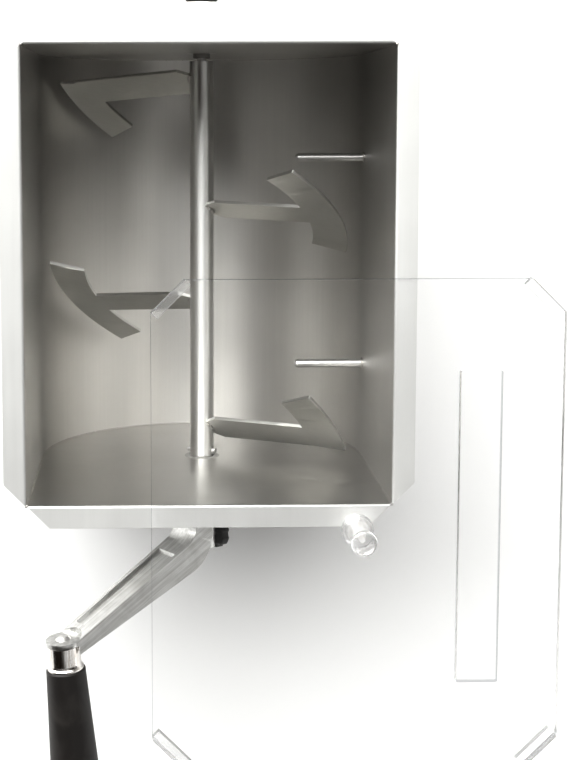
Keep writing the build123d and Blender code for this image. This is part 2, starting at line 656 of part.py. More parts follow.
def main():
    os.makedirs("parts", exist_ok=True)
    save("trough_shell", trough_shell())
    save("front_end_plate", end_plate(-1, BUSH_R + SEAT_FIT))
    save("rear_end_plate", end_plate(1, HEX_SPIGOT_R + SEAT_FIT))
    save("front_stand", stand(-1, BUSH_R + SEAT_FIT))
    save("rear_stand", stand(1, HEX_SPIGOT_R + SEAT_FIT))
    save("rubber_feet", rubber_feet())
    for name, y in zip(("rear_baffle_rod", "front_baffle_rod"), BAFFLE_Y):
        save(name, baffle_rod(y))
    save("front_bearing_housing", front_bearing_housing())
    save("front_bearing_bush", front_bearing_bush())
    save("front_shaft_seal", front_shaft_seal())
    save("rear_hex_housing", rear_hex_housing())
    save("rear_housing_cap", rear_housing_cap())
    save("rear_inner_washer", rear_inner_washer())
    save("shaft_tube", shaft_tube())
    save("shaft_rear_plug", shaft_rear_plug())
    save("drive_stub", drive_stub())
    save("drive_cross_pin", drive_cross_pin())
    save("retaining_ring", retaining_ring())
    for name in PADDLES:
        save(name, paddle(name))
    save("crank_arm", crank_arm())
    save("crank_clamp_screw", crank_clamp_screw())
    save("clamp_screw_knob", clamp_screw_knob())
    save("grip_spindle", grip_spindle())
    save("grip_ferrule", grip_ferrule())
    save("grip_handle", grip_handle())
    save("plunger_pin", plunger_pin())
    save("plunger_knob", plunger_knob())
    save("plunger_spring", plunger_spring())
    save("lid_plate", lid_plate())
    save("lid_corner_bars", lid_corner_bars())
    save("lid_knob", lid_knob())
    save("lid_knob_screw", lid_knob_screw())


main()
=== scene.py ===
import json
import math

import bmesh
import bpy
from mathutils import Matrix, Vector


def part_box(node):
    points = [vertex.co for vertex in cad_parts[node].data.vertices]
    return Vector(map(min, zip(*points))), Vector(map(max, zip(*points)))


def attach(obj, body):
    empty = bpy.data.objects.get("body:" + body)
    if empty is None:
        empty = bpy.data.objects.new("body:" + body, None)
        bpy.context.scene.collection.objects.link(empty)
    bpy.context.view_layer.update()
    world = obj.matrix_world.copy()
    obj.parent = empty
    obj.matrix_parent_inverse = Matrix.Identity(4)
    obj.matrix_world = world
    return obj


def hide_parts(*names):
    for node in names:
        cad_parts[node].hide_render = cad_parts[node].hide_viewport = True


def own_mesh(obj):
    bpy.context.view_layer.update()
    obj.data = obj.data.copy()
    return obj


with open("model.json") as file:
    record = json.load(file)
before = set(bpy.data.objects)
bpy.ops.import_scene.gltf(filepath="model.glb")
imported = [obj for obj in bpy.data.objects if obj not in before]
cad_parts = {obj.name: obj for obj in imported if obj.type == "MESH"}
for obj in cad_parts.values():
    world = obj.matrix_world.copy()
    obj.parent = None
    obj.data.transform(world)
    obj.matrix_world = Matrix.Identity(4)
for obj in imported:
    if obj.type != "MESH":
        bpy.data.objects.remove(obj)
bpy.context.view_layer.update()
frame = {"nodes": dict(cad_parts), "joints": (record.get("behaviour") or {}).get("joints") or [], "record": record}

# ---- sizes that the CAD settles, in metres ----
MM = 0.001
SHEET = 1.5 * MM                     # tank sheet
RIM_BEND = 2.2 * MM                  # rounding from wall to flange
PADDLE_SHEET = 2.5 * MM
# side, place along the shaft, rise, pitch and lean in degrees, width of the arm
PADDLES = {
    "paddle_1": (-1, 131.0 * MM, -21.0, 54.0, 7.5, 26.5 * MM),
    "paddle_2": (1, 36.8 * MM, 30.0, 59.0, 3.0, 23.0 * MM),
    "paddle_3": (-1, -32.0 * MM, -22.0, 55.5, 6.9, 23.0 * MM),
    "paddle_4": (1, -127.0 * MM, 27.0, 49.0, 0.0, 26.5 * MM),
}
LID_CHAMFER = 22 * MM
ARM_RISE = math.radians(34)          # the crank arm at rest, above the horizontal, pointing left
ARM_FLARE = math.radians(29.5)       # how far the arm's tank side leans away from the tank
LID_SLOT = Vector((27 * MM, 209 * MM))
LID_SLOT_X = 80.5 * MM               # slot centre from the lid's centre
FLOOR_REACH = 6.0

SHELL_LOW, SHELL_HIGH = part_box("trough_shell")
RIM_Z = SHELL_HIGH.z
HALF_LENGTH = SHELL_HIGH.y
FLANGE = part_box("rear_end_plate")[1].y - HALF_LENGTH
HALF_WIDTH = SHELL_HIGH.x - FLANGE
JOINTS = {j["name"]: j for j in frame["joints"]}
SHAFT = Vector(JOINTS["shaft_turn"]["pos_m"])
TUBE_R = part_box("shaft_tube")[1].x
LID_LOW, LID_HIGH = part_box("lid_plate")
LID_CENTRE = (LID_LOW + LID_HIGH) / 2


# ---- material building blocks ----
class Look:
    """A Principled material whose inputs are driven by procedural patterns in object space."""

    def __init__(self, name, **inputs):
        self.material = bpy.data.materials.new(name)
        self.material.use_nodes = True
        self.tree = self.material.node_tree
        self.shader = self.tree.nodes["Principled BSDF"]
        self.coords = self.tree.nodes.new("ShaderNodeTexCoord").outputs["Object"]
        for key, value in inputs.items():
            self.shader.inputs[key.replace("_", " ")].default_value = value

    def node(self, kind, **inputs):
        made = self.tree.nodes.new(kind)
        for key, value in inputs.items():
            socket = made.inputs[key.replace("_", " ")]
            if isinstance(value, bpy.types.NodeSocket):
                self.tree.links.new(value, socket)
            else:
                socket.default_value = value
        return made

    def drive(self, key, output):
        self.tree.links.new(output, self.shader.inputs[key])

    def stretched(self, scale, turn=(0, 0, 0)):
        """Object space turned, then scaled per axis to make streaks; scale is in cycles a metre."""
        turned = self.node("ShaderNodeMapping", Vector=self.coords, Rotation=turn)
        scaled = self.node("ShaderNodeMapping", Vector=turned.outputs["Vector"], Scale=scale)
        return scaled.outputs["Vector"]

    def noise(self, scale, turn=(0, 0, 0), detail=4.0, roughness=0.55, distortion=0.0):
        made = self.node("ShaderNodeTexNoise", Vector=self.stretched(scale, turn), Scale=1.0, Detail=detail,
                         Roughness=roughness, Distortion=distortion)
        return made.outputs["Fac"]

    def spread(self, value, low, high, to_low, to_high):
        made = self.node("ShaderNodeMapRange", Value=value, From_Min=low, From_Max=high, To_Min=to_low,
                         To_Max=to_high)
        return made.outputs["Result"]

    def mix(self, share, first, second):
        """Colour from first to second as share goes from 0 to 1."""
        made = self.tree.nodes.new("ShaderNodeMix")
        made.data_type = "RGBA"
        colour_inputs = [s for s in made.inputs if s.type == "RGBA"]
        factor = [s for s in made.inputs if s.type == "VALUE"][0]
        for socket, value in zip([factor, *colour_inputs], [share, first, second]):
            if isinstance(value, bpy.types.NodeSocket):
                self.tree.links.new(value, socket)
            else:
                socket.default_value = value
        return [s for s in made.outputs if s.type == "RGBA"][0]

    def math(self, operation, first, second):
        made = self.tree.nodes.new("ShaderNodeMath")
        made.operation = operation
        for socket, value in zip(made.inputs, (first, second)):
            if isinstance(value, bpy.types.NodeSocket):
                self.tree.links.new(value, socket)
            else:
                socket.default_value = value
        return made.outputs[0]

    def bump(self, height, distance, strength=1.0, over=None):
        made = self.node("ShaderNodeBump", Height=height, Distance=distance, Strength=strength)
        if over is not None:
            self.tree.links.new(over, made.inputs["Normal"])
        return made.outputs["Normal"]


def brushed(name, grain, dark, light, rough, round_axis, cloud=7.0, depth=1.0, spread=0.7, turn=0.0):
    """Brushed sheet: grain is the streaks' scale per axis, small along the brushing direction.

    Highlights spread along the tangent, which runs round the given axis, or along it with a turn of 0.25.
    """
    look = Look(name, Metallic=1.0, Anisotropic=spread, Anisotropic_Rotation=turn)
    clouds = look.noise((cloud, cloud, cloud), detail=4.0, distortion=0.6)
    streaks = look.noise(grain, detail=3.0, roughness=0.6)
    smudges = look.noise((18, 11, 18), detail=5.0, distortion=0.8)
    tone = look.math("ADD", look.spread(clouds, 0.3, 0.7, 0.0, 0.7),
                     look.spread(streaks, 0.3, 0.7, 0.0, 0.3))
    look.drive("Base Color", look.mix(tone, (*dark, 1), (*light, 1)))
    low, high = rough
    worn = look.math("ADD", look.spread(smudges, 0.35, 0.7, low, high),
                     look.spread(streaks, 0.3, 0.7, -0.015, 0.015))
    look.drive("Roughness", worn)
    scratch = look.noise((170, 5, 80), turn=(0.05, 0.02, 0.08), detail=2.0, distortion=0.2)
    scratch = look.spread(scratch, 0.70, 0.78, 0.0, 1.0)
    fine = look.bump(streaks, 0.00001 * depth)
    look.drive("Normal", look.bump(scratch, 0.000001 * depth, over=fine))
    tangent = look.tree.nodes.new("ShaderNodeTangent")
    tangent.direction_type = "RADIAL"
    tangent.axis = round_axis
    look.drive("Tangent", tangent.outputs["Tangent"])
    return look.material


def turned_steel():
    look = Look("turned_steel", Metallic=1.0)
    rings = look.noise((60, 2400, 60), detail=2.0)
    clouds = look.noise((45, 45, 45), detail=5.0)
    look.drive("Base Color", look.mix(clouds, (0.66, 0.65, 0.64, 1), (0.86, 0.85, 0.84, 1)))
    look.drive("Roughness", look.spread(clouds, 0.3, 0.7, 0.34, 0.46))
    look.drive("Normal", look.bump(rings, 0.00003))
    return look.material


def spring_steel():
    look = Look("spring_steel", Metallic=1.0)
    clouds = look.noise((180, 180, 180), detail=4.0)
    look.drive("Base Color", look.mix(clouds, (0.22, 0.22, 0.23, 1), (0.42, 0.41, 0.40, 1)))
    look.drive("Roughness", look.spread(clouds, 0.3, 0.7, 0.28, 0.45))
    look.drive("Normal", look.bump(clouds, 0.00003))
    return look.material


def weld_steel():
    look = Look("weld_steel", Metallic=1.0)
    ripple = look.noise((420, 420, 420), detail=3.0)
    heat = look.noise((90, 90, 90), detail=3.0)
    look.drive("Base Color", look.mix(heat, (0.52, 0.50, 0.47, 1), (0.72, 0.71, 0.70, 1)))
    look.drive("Roughness", look.spread(ripple, 0.3, 0.7, 0.25, 0.5))
    look.drive("Normal", look.bump(ripple, 0.00008))
    return look.material


def cast_aluminium():
    """Tumbled casting, with the streaks of a belt run along the arm."""
    look = Look("cast_aluminium", Metallic=1.0)
    grain = look.noise((900, 900, 900), detail=4.0, roughness=0.7)
    belt = look.noise((14, 520, 520), turn=(0.0, -ARM_RISE, -ARM_FLARE), detail=3.0, roughness=0.6)
    clouds = look.noise((38, 38, 38), detail=5.0, distortion=0.8)
    tone = look.math("ADD", look.spread(clouds, 0.3, 0.7, 0.0, 0.45),
                     look.spread(belt, 0.35, 0.65, 0.0, 0.55))
    look.drive("Base Color", look.mix(tone, (0.44, 0.435, 0.42, 1), (0.78, 0.78, 0.77, 1)))
    look.drive("Roughness", look.spread(grain, 0.3, 0.7, 0.28, 0.42))
    rough = look.bump(grain, 0.00004)
    look.drive("Normal", look.bump(belt, 0.00005, over=rough))
    return look.material


def chrome_plate():
    look = Look("chrome_plate", Metallic=1.0)
    ripples_and_painted_streaks = look.noise((1100, 45, 1100), detail=3.0, roughness=0.7)
    specks = look.noise((1500, 1500, 1500), detail=2.0)
    # The streaks ripple the surface, and as painted reflection they also streak its colour from brownish grey to
    # bright.
    look.drive("Base Color", look.mix(look.spread(ripples_and_painted_streaks, 0.35, 0.65, 0.0, 1.0), (0.58, 0.54, 0.50, 1),
                                      (0.92, 0.91, 0.90, 1)))
    look.drive("Roughness", look.spread(specks, 0.4, 0.7, 0.16, 0.26))
    look.drive("Normal", look.bump(ripples_and_painted_streaks, 0.00004))
    return look.material


def black_plastic():
    look = Look("black_plastic", Specular_IOR_Level=0.32, Coat_Weight=0.05, Coat_Roughness=0.4)
    grain = look.noise((1600, 1600, 1600), detail=3.0)
    dust = look.noise((55, 55, 55), detail=6.0, distortion=0.7)
    look.drive("Base Color", look.mix(look.spread(dust, 0.45, 0.8, 0.0, 0.6), (0.018, 0.016, 0.015, 1),
                                      (0.045, 0.040, 0.037, 1)))
    look.drive("Roughness", look.spread(dust, 0.3, 0.7, 0.42, 0.56))
    look.drive("Normal", look.bump(grain, 0.00003))
    return look.material


def white_plastic():
    look = Look("white_plastic")
    clouds = look.noise((70, 70, 70), detail=4.0)
    rings = look.noise((80, 1800, 80), detail=2.0)
    look.drive("Base Color", look.mix(clouds, (0.78, 0.76, 0.70, 1), (0.88, 0.87, 0.83, 1)))
    look.drive("Roughness", look.spread(clouds, 0.3, 0.7, 0.4, 0.55))
    look.drive("Normal", look.bump(rings, 0.00003))
    return look.material


def seal_plastic():
    look = Look("seal_plastic", Specular_IOR_Level=0.45)
    rings = look.noise((80, 1400, 80), detail=2.0)
    clouds = look.noise((110, 110, 110), detail=4.0)
    look.drive("Base Color", look.mix(clouds, (0.30, 0.29, 0.28, 1), (0.42, 0.41, 0.39, 1)))
    look.drive("Roughness", look.spread(clouds, 0.3, 0.7, 0.38, 0.52))
    look.drive("Normal", look.bump(rings, 0.00003))
    return look.material


def foot_rubber():
    look = Look("foot_rubber", Specular_IOR_Level=0.35)
    clouds = look.noise((90, 90, 90), detail=6.0)
    grain = look.noise((1300, 1300, 1300), detail=3.0)
    look.drive("Base Color", look.mix(clouds, (0.016, 0.016, 0.016, 1), (0.050, 0.049, 0.047, 1)))
    look.drive("Roughness", look.spread(clouds, 0.3, 0.7, 0.6, 0.82))
    look.drive("Normal", look.bump(grain, 0.00006))
    return look.material


def clear_plastic(name, tint, deep, rough, clear=1.0):
    """Clear plastic. Rays from lamps pass straight through, so what lies under it stays lit."""
    look = Look(name, IOR=1.46, Transmission_Weight=clear)
    haze = look.noise((14, 14, 14), detail=5.0, distortion=0.8)
    scuffs = look.noise((90, 700, 300), turn=(0.0, 0.0, 0.5), detail=3.0)
    look.drive("Base Color", look.mix(haze, (*tint, 1), (*deep, 1)))
    marks = look.math("MULTIPLY", look.spread(scuffs, 0.62, 0.75, 0.0, 1.0), 0.06)
    look.drive("Roughness", look.math("ADD", look.spread(haze, 0.35, 0.75, rough, rough + 0.02), marks))
    look.drive("Normal", look.bump(haze, 0.0001))
    path = look.tree.nodes.new("ShaderNodeLightPath")
    open_way = look.node("ShaderNodeBsdfTransparent", Color=(0.97, 0.97, 0.975, 1))
    blend = look.tree.nodes.new("ShaderNodeMixShader")
    output = look.tree.nodes["Material Output"]
    look.tree.links.new(path.outputs["Is Shadow Ray"], blend.inputs[0])
    look.tree.links.new(look.shader.outputs[0], blend.inputs[1])
    look.tree.links.new(open_way.outputs[0], blend.inputs[2])
    look.tree.links.new(blend.outputs[0], output.inputs["Surface"])
    return look.material


PANE_MIRROR = 0.018     # share of light that one face of the lid mirrors, seen square on
PANE_GLANCE = 0.9       # share that it mirrors besides, seen edge on
PANE_SCUFFS = 0.012     # share that a scuff adds


def clear_pane(name):
    """The lid's flat faces: a faint mirror, stronger at a glance, on a sheet that light passes."""
    look = Look(name, Metallic=1.0)
    haze = look.noise((14, 14, 14), detail=5.0, distortion=0.8)
    scuffs = look.noise((90, 700, 300), turn=(0.0, 0.0, 0.5), detail=3.0)
    look.drive("Base Color", look.mix(haze, (0.97, 0.97, 0.98, 1), (0.92, 0.92, 0.94, 1)))
    look.drive("Roughness", look.spread(haze, 0.35, 0.75, 0.02, 0.06))
    look.drive("Normal", look.bump(haze, 0.0001))
    facing = look.node("ShaderNodeLayerWeight", Blend=0.5).outputs["Facing"]
    mirror = look.math("MULTIPLY", look.math("POWER", facing, 5.0), PANE_GLANCE)
    marks = look.spread(scuffs, 0.64, 0.78, PANE_MIRROR, PANE_MIRROR + PANE_SCUFFS)
    look.drive("Alpha", look.math("ADD", mirror, marks))
    return look.material


BRUSHED = {
    "brushed_sheet": dict(grain=(420, 7, 420), dark=(0.73, 0.72, 0.70), light=(0.81, 0.80, 0.78),
                          rough=(0.41, 0.45), round_axis="Y", spread=0.65, depth=0.3, turn=0.25),
    "rim_sheet": dict(grain=(420, 9, 420), dark=(0.73, 0.73, 0.72), light=(0.79, 0.79, 0.78),
                      rough=(0.60, 0.66), round_axis="Y", spread=0.0, depth=0.4),
    "plate_sheet": dict(grain=(9, 420, 420), dark=(0.52, 0.51, 0.49), light=(0.60, 0.59, 0.57),
                        rough=(0.33, 0.37), round_axis="X", spread=0.2, depth=0.3),
    "stand_sheet": dict(grain=(12, 500, 500), dark=(0.50, 0.50, 0.50), light=(0.64, 0.64, 0.63),
                        rough=(0.30, 0.40), round_axis="X"),
    "paddle_sheet": dict(grain=(40, 500, 500), dark=(0.60, 0.595, 0.57), light=(0.70, 0.695, 0.67),
                         rough=(0.38, 0.43), round_axis="Y", cloud=20.0, spread=0.3, depth=0.4),
    "shaft_steel": dict(grain=(500, 20, 500), dark=(0.86, 0.86, 0.84), light=(0.92, 0.92, 0.91),
                        rough=(0.42, 0.46), round_axis="Y", cloud=22.0, depth=0.4, turn=0.25),
}
LOOKS = {name: brushed(name, **values) for name, values in BRUSHED.items()}
LOOKS.update({
    "turned_steel": turned_steel(),
    "spring_steel": spring_steel(),
    "weld_steel": weld_steel(),
    "cast_aluminium": cast_aluminium(),
    "chrome_plate": chrome_plate(),
    "black_plastic": black_plastic(),
    "white_plastic": white_plastic(),
    "foot_rubber": foot_rubber(),
    "seal_plastic": seal_plastic(),
    "clear_sheet": clear_pane("clear_sheet"),
    "clear_moulded": clear_plastic("clear_moulded", (0.94, 0.94, 0.94), (0.83, 0.83, 0.83), 0.08,
                                   clear=0.94),
    # Painted shade: the lid's edge faces take a dark grey tint, which draws the dark lines along its edges.
    "clear_edge": clear_plastic("clear_edge", (0.34, 0.34, 0.36), (0.24, 0.24, 0.26), 0.10),
})


# ---- mesh building blocks ----
def finish_mesh(name, mesh, looks, body, smooth_under=35):
    """Gives a new mesh its shading, materials, body and finish."""
    mesh.shade_smooth()
    mesh.set_sharp_from_angle(angle=math.radians(smooth_under))
    piece = bpy.data.objects.new(name, mesh)
    bpy.context.scene.collection.objects.link(piece)
    for look in looks:
        mesh.materials.append(LOOKS[look])
    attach(piece, body)
    return piece


def finish_rim(mesh):
    """Gives the level faces at the rim the mesh's second material."""
    for face in mesh.polygons:
        if face.center.z > RIM_Z - 2 * RIM_BEND and abs(face.normal.z) > 0.6:
            face.material_index = 1


def mesh_from(name, vertices, faces):
    mesh = bpy.data.meshes.new(name)
    mesh.from_pydata([tuple(v) for v in vertices], [], faces)
    made = bmesh.new()
    made.from_mesh(mesh)
    bmesh.ops.remove_doubles(made, verts=made.verts, dist=1e-7)
    bmesh.ops.recalc_face_normals(made, faces=made.faces)
    made.to_mesh(mesh)
    made.free()
    return mesh


def lathe(profile, origin, axis, turns=96):
    """Turns (radius, height) points about axis; a radius of 0 closes an end."""
    frame_of = Vector(axis).to_track_quat("Z", "Y").to_matrix()
    vertices, faces = [], []
    for radius, height in profile:
        for i in range(turns):
            angle = 2 * math.pi * i / turns
            local = Vector((radius * math.cos(angle), radius * math.sin(angle), height))
            vertices.append(Vector(origin) + frame_of @ local)
    for row in range(len(profile) - 1):
        for i in range(turns):
            after = (i + 1) % turns
            faces.append((row * turns + i, row * turns + after, (row + 1) * turns + after,
                          (row + 1) * turns + i))
    return vertices, faces


def bead(path, radius, ripple=0.12, pitch=0.0016, sides=10):
    """A welded bead along a path: a round run whose radius swells at each puddle."""
    path = [Vector(p) for p in path]
    vertices, faces = [], []
    run = 0.0
    for i, point in enumerate(path):
        run += (point - path[i - 1]).length if i else 0.0
        ahead = (path[min(i + 1, len(path) - 1)] - path[max(i - 1, 0)]).normalized()
        side = ahead.orthogonal().normalized()
        up = ahead.cross(side)
        ends = min(1.0, 0.25 + min(i, len(path) - 1 - i) / 3)
        swell = radius * ends * (1 + ripple * math.sin(2 * math.pi * run / pitch))
        for k in range(sides):
            angle = 2 * math.pi * k / sides
            vertices.append(point + swell * (math.cos(angle) * side + math.sin(angle) * up))
    for i in range(len(path) - 1):
        for k in range(sides):
            after = (k + 1) % sides
            faces.append((i * sides + k, i * sides + after, (i + 1) * sides + after, (i + 1) * sides + k))
    last = (len(path) - 1) * sides
    faces.append(tuple(range(sides))[::-1])
    faces.append(tuple(range(last, last + sides)))
    return vertices, faces


def ring_path(centre, radius, axis, steps=72):
    """A closed circle of points about axis, its last point back on its first."""
    frame_of = Vector(axis).to_track_quat("Z", "Y").to_matrix()
    angles = [2 * math.pi * i / steps for i in range(steps + 1)]
    points = [Vector((radius * math.cos(a), radius * math.sin(a), 0)) for a in angles]
    return [Vector(centre) + frame_of @ point for point in points]


def join_shapes(name, shapes):
    vertices, faces = [], []
    for part_vertices, part_faces in shapes:
        start = len(vertices)
        vertices += part_vertices
        faces += [tuple(start + i for i in face) for face in part_faces]
    return mesh_from(name, vertices, faces)


# ---- trough: one bent sheet, with the slight pillowing of thin wall ----
ARC_STEPS = 96
BEND_STEPS = 8
WALL_STEPS = 24
LENGTH_STEPS = 90


def trough_section():
    """Middle line of the sheet from the left flange's tip to the right one's, as (x, z, normal)."""
    half = HALF_WIDTH + SHEET / 2
    bend = RIM_BEND - SHEET / 2
    top = RIM_Z - SHEET / 2
    right = []
    for i in range(ARC_STEPS // 2 + 1):
        angle = -math.pi / 2 + math.pi / 2 * i / (ARC_STEPS // 2)
        right.append((half * math.cos(angle), SHAFT.z + half * math.sin(angle),
                      (-math.cos(angle), -math.sin(angle))))
    wall_top = top - bend
    for i in range(1, WALL_STEPS + 1):
        right.append((half, SHAFT.z + (wall_top - SHAFT.z) * i / WALL_STEPS, (-1.0, 0.0)))
    for i in range(1, BEND_STEPS + 1):
        angle = math.pi - math.pi / 2 * i / BEND_STEPS
        right.append((half + bend + bend * math.cos(angle), wall_top + bend * math.sin(angle),
                      (math.cos(angle), math.sin(angle))))
    right.append((HALF_WIDTH + FLANGE, top, (0.0, 1.0)))
    left = [(-x, z, (-nx, nz)) for x, z, (nx, nz) in reversed(right[1:])]
    return left + right


def pillow(x, y, z):
    """How far thin wall stands off its true surface: nothing at the ends, the rim and the welds."""
    end = math.cos(math.pi * y / (2 * HALF_LENGTH)) ** 2
    rim = max(0.0, min(1.0, (RIM_Z - z) / 0.08))
    waves = math.sin(17 * y + 3.1 * x) * math.cos(21 * z + 9 * x) + 0.6 * math.sin(33 * y - 14 * z)
    return 0.00022 * end * rim * waves


def trough_skin():
    section = trough_section()
    columns = LENGTH_STEPS + 1
    vertices = []
    for side in (1, -1):
        for x, z, (nx, nz) in section:
            reach = HALF_LENGTH - max(0.0, abs(x) - HALF_WIDTH - SHEET / 2)
            for j in range(columns):
                y = -reach + 2 * reach * j / LENGTH_STEPS
                off = side * SHEET / 2 + pillow(x, y, z)
                vertices.append((x + nx * off, y, z + nz * off))
    rows = len(section)

    def at(side, row, column):
        return (side * rows + row) * columns + column

    faces = []
    for row in range(rows - 1):
        for j in range(LENGTH_STEPS):
            faces.append((at(0, row, j), at(0, row + 1, j), at(0, row + 1, j + 1), at(0, row, j + 1)))
            faces.append((at(1, row, j), at(1, row, j + 1), at(1, row + 1, j + 1), at(1, row + 1, j)))
        for j in (0, LENGTH_STEPS):
            faces.append((at(0, row, j), at(0, row + 1, j), at(1, row + 1, j), at(1, row, j)))
    for row in (0, rows - 1):
        for j in range(LENGTH_STEPS):
            faces.append((at(0, row, j), at(0, row, j + 1), at(1, row, j + 1), at(1, row, j)))
    mesh = mesh_from("trough_skin", vertices, faces)
    piece = finish_mesh("trough_skin", mesh, ["brushed_sheet", "rim_sheet"], "tank")
    finish_rim(mesh)
    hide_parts("trough_shell")


# ---- welds ----
SEAM_R = 0.5 * MM
SEAM_STEPS = 180
SEAM_DOWN = 4 * MM                   # the seam starts this far below the rim
TACK_DOWN = 1.2 * MM
TACK_ALONG = (-1.2 * MM, -0.4 * MM, 0.4 * MM, 1.2 * MM)


def weld_piece(name, shapes, body):
    return finish_mesh(name, join_shapes(name, shapes), ["weld_steel"], body)


def tank_welds():
    """Ground seams where the end plates meet the trough, with a tack at each corner of the rim."""
    inner = HALF_WIDTH - 0.2 * MM
    straight_points = int((RIM_Z - SHAFT.z) / MM) - 4
    shapes = []
    for end in (-1, 1):
        y = end * (HALF_LENGTH - 0.3 * MM)
        straight = [(-inner, y, RIM_Z - SEAM_DOWN - MM * i) for i in range(straight_points)]
        angles = [math.pi + math.pi * i / SEAM_STEPS for i in range(SEAM_STEPS + 1)]
        arc = [(inner * math.cos(a), y, SHAFT.z + inner * math.sin(a)) for a in angles]
        back = [(-x, y, z) for x, _, z in reversed(straight)]
        shapes.append(bead(straight + arc + back, SEAM_R, ripple=0.04, pitch=3 * MM))
        for side in (-1, 1):
            corner = Vector((side * HALF_WIDTH, end * HALF_LENGTH, RIM_Z - TACK_DOWN))
            out = Vector((side, end, 0)).normalized()
            shapes.append(bead([corner + out * reach for reach in TACK_ALONG], MM))
    return weld_piece("tank_seam_welds", shapes, "tank")


def paddle_welds():
    """A bead along each face of every paddle's root, where the sheet meets the tube."""
    shapes = []
    for side, y, rise, pitch, lean, arm_width in PADDLES.values():
        turn = Matrix.Rotation(-side * math.radians(rise), 3, "Y")
        along = Vector((0, math.cos(math.radians(pitch)), math.sin(math.radians(pitch))))
        out = Vector((side, 0, 0))
        lean = math.radians(lean)
        arm = turn @ (out * math.cos(lean) - along * math.sin(lean))
        across = turn @ (along * math.cos(lean) + out * math.sin(lean))
        face = arm.cross(across).normalized()
        for offset in (-1, 1):
            path = []
            for i in range(13):
                u = arm_width * (i / 12 - 0.5) * 0.62
                start = Vector((SHAFT.x, y, SHAFT.z)) + across * u
                path.append(on_tube(start, arm) + face * offset * (PADDLE_SHEET / 2 + 0.0003))
            shapes.append(bead(path, 0.0013))
    return weld_piece("paddle_root_welds", shapes, "rotor")


def on_tube(start, direction):
    """The point where a line from inside the shaft tube leaves its surface."""
    flat = Vector((direction.x, 0, direction.z))
    offset = Vector((start.x - SHAFT.x, 0, start.z - SHAFT.z))
    a, b, c = flat.dot(flat), offset.dot(flat), offset.dot(offset) - TUBE_R ** 2
    return start + direction * ((-b + math.sqrt(b * b - a * c)) / a)


def fitting_welds():
    """Rings of weld round the two wall rods and the front bearing housing."""
    shapes = []
    for rod in ("rear_baffle_rod", "front_baffle_rod"):
        low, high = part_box(rod)
        middle = (low + high) / 2
        shapes.append(bead(ring_path((HALF_WIDTH - 0.0004, middle.y, middle.z), 0.0034, (1, 0, 0)), 0.0009))
    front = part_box("front_bearing_housing")
    shapes.append(bead(ring_path((SHAFT.x, front[1].y, SHAFT.z), front[1].x + 0.0006, (0, 1, 0)), 0.0016))
    return weld_piece("fitting_welds", shapes, "tank")


# ---- lid ----
def rounded_outline(corners, radius, steps=5):
    """A closed outline with each corner turned into a short arc."""
    points = []
    count = len(corners)
    for i, corner in enumerate(corners):
        before = (Vector(corners[i - 1]) - Vector(corner)).normalized()
        after = (Vector(corners[(i + 1) % count]) - Vector(corner)).normalized()
        start, end = Vector(corner) + before * radius, Vector(corner) + after * radius
        for k in range(steps + 1):
            t = k / steps
            points.append((1 - t) ** 2 * start + 2 * t * (1 - t) * Vector(corner) + t * t * end)
    return points


def add_loop(curve, points):
    spline = curve.splines.new("POLY")
    spline.points.add(len(points) - 1)
    for target, point in zip(spline.points, points):
        target.co = (point.x, point.y, 0, 1)
    spline.use_cyclic_u = True


def flat_sheet(name, loops, thickness, rounding):
    """A sheet cut to the first loop with the others cut out of it, its edges eased."""
    curve = bpy.data.curves.new(name, "CURVE")
    curve.dimensions = "2D"
    curve.fill_mode = "BOTH"
    curve.extrude = thickness / 2 - rounding
    curve.bevel_depth = rounding
    curve.bevel_resolution = 2
    curve.offset = -rounding
    for loop in loops:
        add_loop(curve, loop)
    holder = bpy.data.objects.new(name + "_outline", curve)
    bpy.context.scene.collection.objects.link(holder)
    bpy.context.view_layer.update()
    mesh = bpy.data.meshes.new_from_object(holder.evaluated_get(bpy.context.evaluated_depsgraph_get()))
    bpy.data.objects.remove(holder)
    return mesh


def clear_lid():
    half_x = (LID_HIGH.x - LID_LOW.x) / 2
    half_y = (LID_HIGH.y - LID_LOW.y) / 2
    cut = LID_CHAMFER
    corners = [(half_x - cut, half_y), (half_x, half_y - cut),
               (half_x, -half_y + cut), (half_x - cut, -half_y),
               (-half_x + cut, -half_y), (-half_x, -half_y + cut),
               (-half_x, half_y - cut), (-half_x + cut, half_y)]
    slot_x, slot_y = LID_SLOT / 2
    slot = [(LID_SLOT_X + sx * slot_x, sy * slot_y) for sx, sy in ((-1, -1), (1, -1), (1, 1), (-1, 1))]
    loops = [rounded_outline(corners, 0.0012), rounded_outline(slot, 0.001)]
    mesh = flat_sheet("clear_lid", loops, LID_HIGH.z - LID_LOW.z, 0.0005)
    mesh.transform(Matrix.Translation(LID_CENTRE))
    piece = finish_mesh("clear_lid", mesh, ["clear_sheet", "clear_edge"], "lid", 30)
    # The edge faces take the darkly tinted second material: painted shade along the lid's edges.
    for face in mesh.polygons:
        if abs(face.normal.z) < 0.9:
            face.material_index = 1
    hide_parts("lid_plate")


# the knob as (radius, height) in millimetres: its foot, its waist, then its flared and rounded head
KNOB_FOOT = [(0.0, 0.0), (10.1, 0.0), (10.5, 0.4), (10.5, 2.3), (10.2, 2.8), (9.0, 3.9), (7.8, 5.6)]
KNOB_WAIST = [(6.9, 8.2), (6.4, 11.5), (6.2, 15.0), (6.2, 19.0), (6.4, 22.5), (6.9, 26.0)]
KNOB_HEAD = [(7.7, 29.2), (8.3, 31.6), (8.4, 33.0), (8.1, 34.6), (7.4, 35.6), (6.4, 36.0), (3.4, 35.8),
             (0.0, 35.7)]


